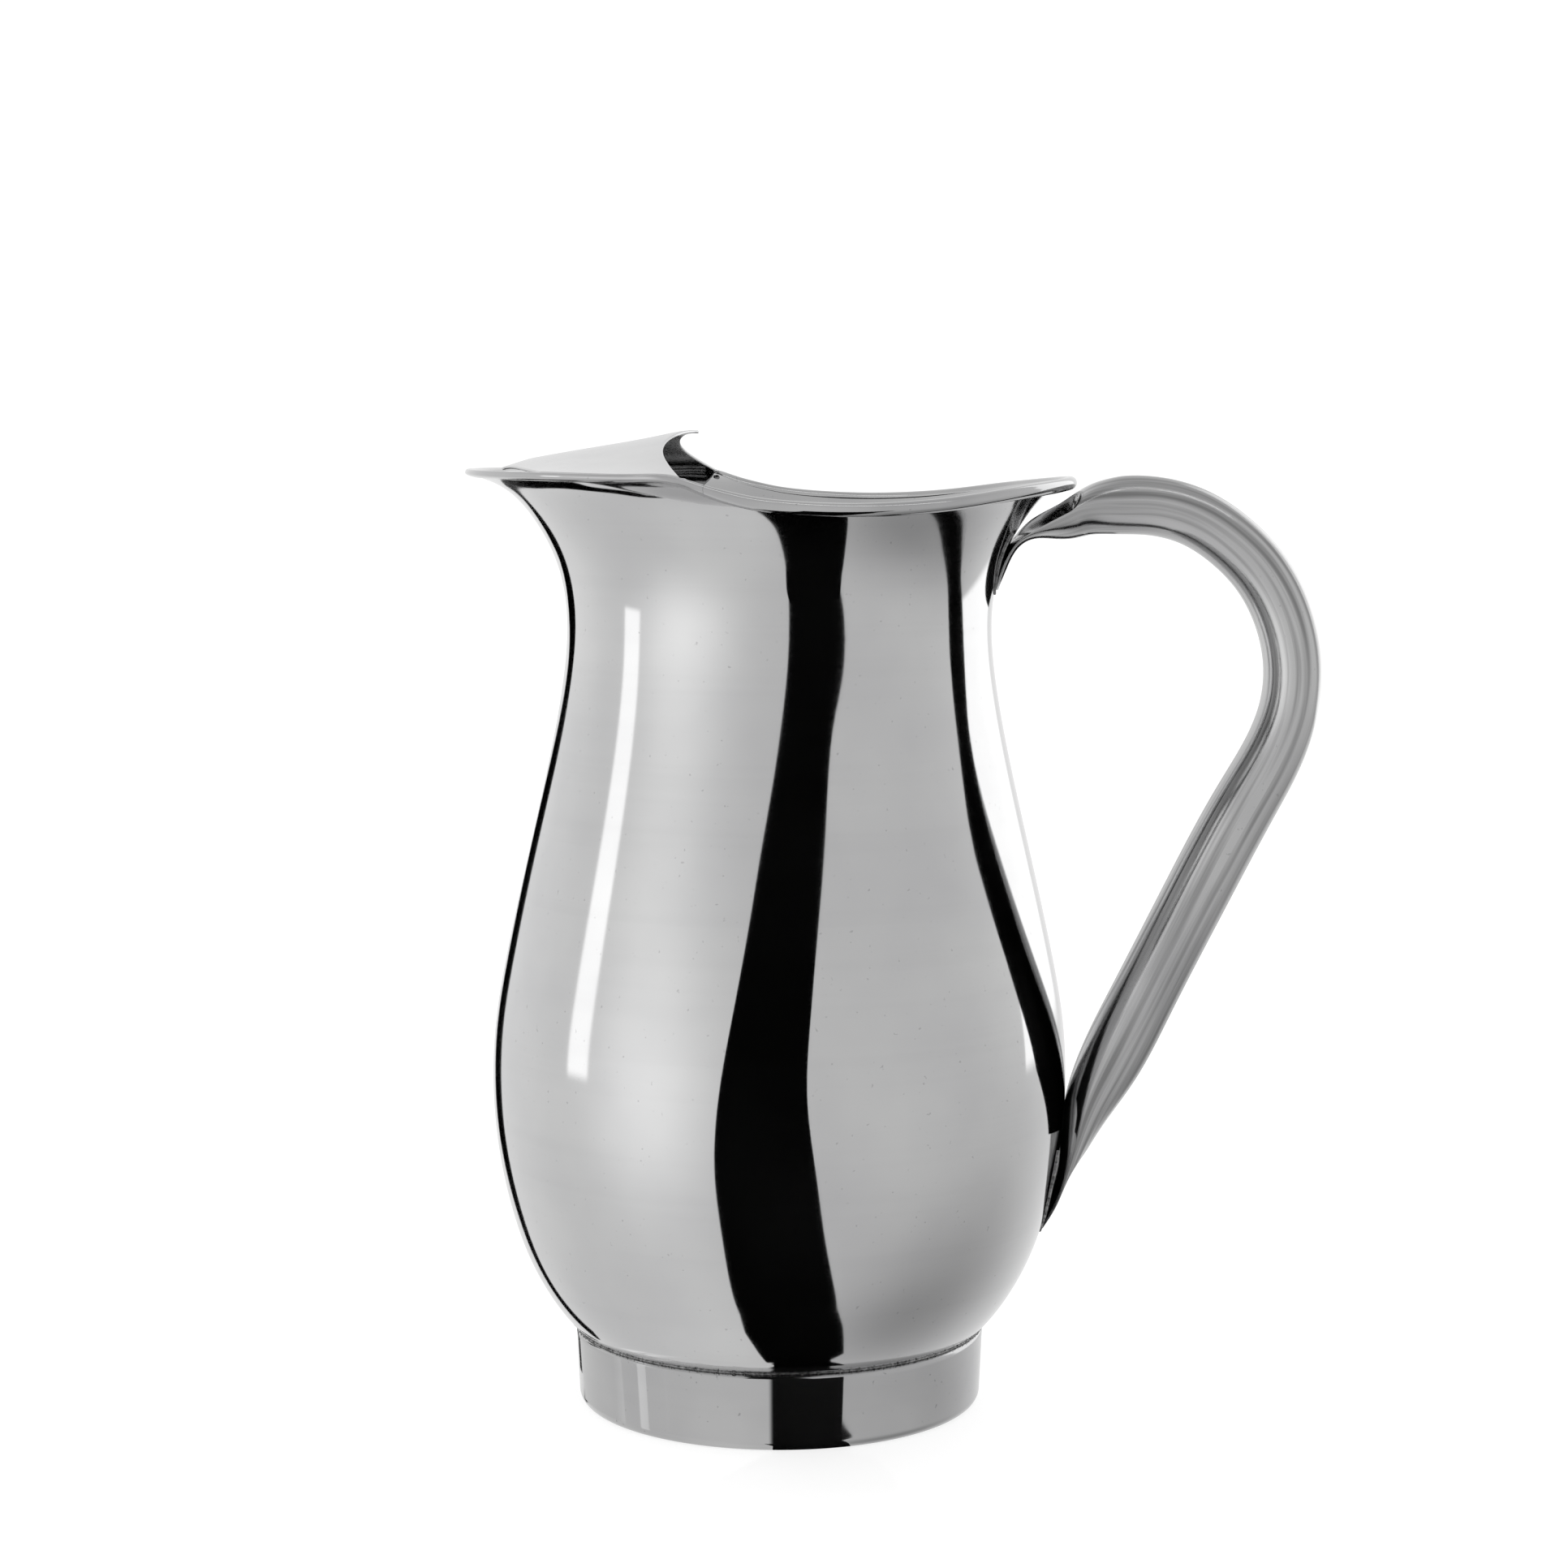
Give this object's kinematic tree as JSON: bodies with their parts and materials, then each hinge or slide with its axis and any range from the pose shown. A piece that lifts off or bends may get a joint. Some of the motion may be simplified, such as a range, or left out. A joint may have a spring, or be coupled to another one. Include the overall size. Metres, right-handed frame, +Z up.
{
  "type": "water pitcher with ice guard",
  "caption": "Bell-shaped metal water pitcher with flared saddle rim, arched ice guard over the spout, bent tube handle and a separate collar foot.",
  "frame": {"origin": "centre of the ring on which the foot stands, on the body's axis, in the plane of the table", "axes": "+Z up along the body's axis, -X towards the spout, +X towards the handle, +Y to the pitcher's left seen from behind the handle"},
  "size_m": [0.1972, 0.134, 0.2273],
  "materials": {
    "body": "mirror polished, faint spinning lines",
    "rim": "mirror polished, rubbed bright",
    "guard": "polished, softly hazed",
    "handle": "polished, with fine lengthwise marks",
    "foot": "polished, finely scuffed and pitted",
    "solder": "rough dull joint metal"
  },
  "bodies": {
    "root": {"body_shell": "body", "rim_wire": "rim", "lip_hem": "rim", "ice_guard": "guard", "guard_solder_left": "solder", "guard_solder_right": "solder", "handle_tube": "handle", "handle_top_solder": "solder", "handle_bottom_solder": "solder", "foot_ring": "foot", "foot_solder": "solder"}
  },
  "joints": []
}
